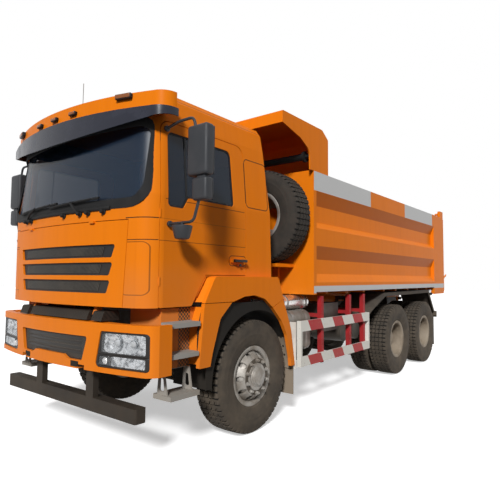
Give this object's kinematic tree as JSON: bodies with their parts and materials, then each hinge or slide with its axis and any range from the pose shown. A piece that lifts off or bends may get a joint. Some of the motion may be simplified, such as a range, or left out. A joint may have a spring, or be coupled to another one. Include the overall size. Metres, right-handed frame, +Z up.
{
  "type": "dump truck",
  "caption": "Forward-control dump truck with a pressed steel tipping bed, cab guard, front hoist, side guards and an upright spare wheel behind the tilting cab.",
  "frame": {"origin": "on the ground under the middle of the whole truck's bounding box", "axes": "+Z up, -Y towards the front of the truck, +X towards its left (driver's) side"},
  "size_m": [3.24, 8.121, 3.395],
  "materials": {
    "orange_paint": "gloss",
    "silver_paint": "satin",
    "chassis_black": "satin",
    "axle_black": "satin",
    "tyre_rubber": "matte",
    "dark_plastic": "matte",
    "clear_glass": "gloss",
    "smoked_plastic": "gloss",
    "white_paint": "satin",
    "red_paint": "satin",
    "alloy": "satin",
    "tank_silver": "satin",
    "seat_fabric": "matte",
    "engine_grey": "satin",
    "hoist_steel": "polished"
  },
  "bodies": {
    "chassis": {"arch_liners": "dark_plastic", "bumper": "orange_paint", "bumper_grille": "dark_plastic", "chassis_frame": "chassis_black", "drive_axles": "axle_black", "driveline": "engine_grey", "engine": "engine_grey", "front_axle": "axle_black", "front_carrier": "dark_plastic", "guard_posts": "red_paint", "headlamps": "dark_plastic", "leaf_springs": "axle_black", "lower_wings": "orange_paint", "rear_lamps": "chassis_black", "rear_mudguards": "dark_plastic", "side_guards": "white_paint", "side_tanks": "tank_silver", "silencer": "alloy", "spare_carrier": "orange_paint", "spare_wheel": "tyre_rubber", "steps": "orange_paint"},
    "cab": {"cab_shell": "orange_paint", "windscreen": "clear_glass", "roof_visor": "orange_paint", "sun_visor": "smoked_plastic", "upper_wings": "orange_paint", "seats": "seat_fabric", "dashboard": "dark_plastic"},
    "hood": {"front_panel": "orange_paint", "grille": "dark_plastic"},
    "door_l": {"door_left": "orange_paint", "door_glass_left": "clear_glass", "mirror_left": "dark_plastic"},
    "door_r": {"door_right": "orange_paint", "door_glass_right": "clear_glass", "mirror_right": "dark_plastic"},
    "bed": {"bed_body": "orange_paint", "bed_sills": "orange_paint", "cab_guard": "orange_paint", "tarp_roller": "chassis_black"},
    "gate": {"tailgate": "orange_paint"},
    "knuckle_l": {"knuckle_left": "axle_black"},
    "knuckle_r": {"knuckle_right": "axle_black"},
    "track_rod": {"tie_rod": "axle_black"},
    "wheel_fl": {"wheel_front_left": "tyre_rubber"},
    "wheel_fr": {"wheel_front_right": "tyre_rubber"},
    "wheels_ml": {"wheels_mid_left": "tyre_rubber"},
    "wheels_mr": {"wheels_mid_right": "tyre_rubber"},
    "wheels_rl": {"wheels_rear_left": "tyre_rubber"},
    "wheels_rr": {"wheels_rear_right": "tyre_rubber"},
    "ram": {"hoist_ram": "hoist_steel"},
    "stage_2": {"hoist_stage_2": "hoist_steel"},
    "stage_1": {"hoist_stage_1": "hoist_steel"},
    "cover": {"hoist_cover": "orange_paint"}
  },
  "joints": [
    {"name": "cab_tilt", "type": "hinge", "parent": "chassis", "child": "cab", "pos_m": [0, -3.8705, 1.215], "axis": [1, 0, 0], "range_deg": [0, 50]},
    {"name": "hood_lift", "type": "hinge", "parent": "cab", "child": "hood", "pos_m": [0, -3.9745, 2.018], "axis": [-1, 0, 0], "range_deg": [0, 75]},
    {"name": "door_left_swing", "type": "hinge", "parent": "cab", "child": "door_l", "pos_m": [1.154, -3.7235, 1.6], "axis": [0, 0, -1], "range_deg": [0, 65]},
    {"name": "door_right_swing", "type": "hinge", "parent": "cab", "child": "door_r", "pos_m": [-1.154, -3.7235, 1.6], "axis": [0, 0, 1], "range_deg": [0, 65]},
    {"name": "bed_tip", "type": "hinge", "parent": "chassis", "child": "bed", "pos_m": [0, 3.5295, 1.135], "axis": [-1, 0, 0], "range_deg": [0, 47]},
    {"name": "tailgate_swing", "type": "hinge", "parent": "bed", "child": "gate", "pos_m": [0, 4.0205, 2.935], "axis": [1, 0, 0], "range_deg": [0, 60]},
    {"name": "steer_left", "type": "hinge", "parent": "chassis", "child": "knuckle_l", "pos_m": [0.89, -2.4705, 0.5625], "axis": [0, 0, 1], "range_deg": [-36, 36]},
    {"name": "steer_right", "type": "hinge", "parent": "chassis", "child": "knuckle_r", "pos_m": [-0.89, -2.4705, 0.5625], "axis": [0, 0, 1], "range_deg": [-36, 36]},
    {"name": "track_rod_shift", "type": "slide", "parent": "chassis", "child": "track_rod", "axis": [-1, 0, 0], "range_m": [-0.13, 0.13]},
    {"name": "front_left_spin", "type": "hinge", "parent": "knuckle_l", "child": "wheel_fl", "pos_m": [1.018, -2.4705, 0.5625], "axis": [1, 0, 0], "continuous": true},
    {"name": "front_right_spin", "type": "hinge", "parent": "knuckle_r", "child": "wheel_fr", "pos_m": [-1.018, -2.4705, 0.5625], "axis": [1, 0, 0], "continuous": true},
    {"name": "mid_left_spin", "type": "hinge", "parent": "chassis", "child": "wheels_ml", "pos_m": [0.93, 1.3045, 0.5625], "axis": [1, 0, 0], "continuous": true},
    {"name": "mid_right_spin", "type": "hinge", "parent": "chassis", "child": "wheels_mr", "pos_m": [-0.93, 1.3045, 0.5625], "axis": [1, 0, 0], "continuous": true},
    {"name": "rear_left_spin", "type": "hinge", "parent": "chassis", "child": "wheels_rl", "pos_m": [0.93, 2.7045, 0.5625], "axis": [1, 0, 0], "continuous": true},
    {"name": "rear_right_spin", "type": "hinge", "parent": "chassis", "child": "wheels_rr", "pos_m": [-0.93, 2.7045, 0.5625], "axis": [1, 0, 0], "continuous": true},
    {"name": "hoist_lean", "type": "hinge", "parent": "chassis", "child": "ram", "pos_m": [0, -1.6705, 1.18], "axis": [-1, 0, 0], "range_deg": [0, 28]},
    {"name": "hoist_slide_1", "type": "slide", "parent": "ram", "child": "stage_2", "axis": [0, 0, 1], "range_m": [0, 1.5]},
    {"name": "hoist_slide_2", "type": "slide", "parent": "stage_2", "child": "stage_1", "axis": [0, 0, 1], "range_m": [0, 1.5]},
    {"name": "hoist_slide_3", "type": "slide", "parent": "stage_1", "child": "cover", "axis": [0, 0, 1], "range_m": [0, 1.5]}
  ],
  "couplings": [
    {"joint": "steer_right", "follows": "steer_left", "ratio": 1},
    {"joint": "track_rod_shift", "follows": "steer_left", "m_per_rad": 0.15},
    {"joint": "hoist_lean", "follows": "bed_tip", "ratio": 0.5532},
    {"joint": "hoist_slide_1", "follows": "bed_tip", "m_per_rad": 1.6732},
    {"joint": "hoist_slide_2", "follows": "bed_tip", "m_per_rad": 1.6732},
    {"joint": "hoist_slide_3", "follows": "bed_tip", "m_per_rad": 1.6732}
  ]
}
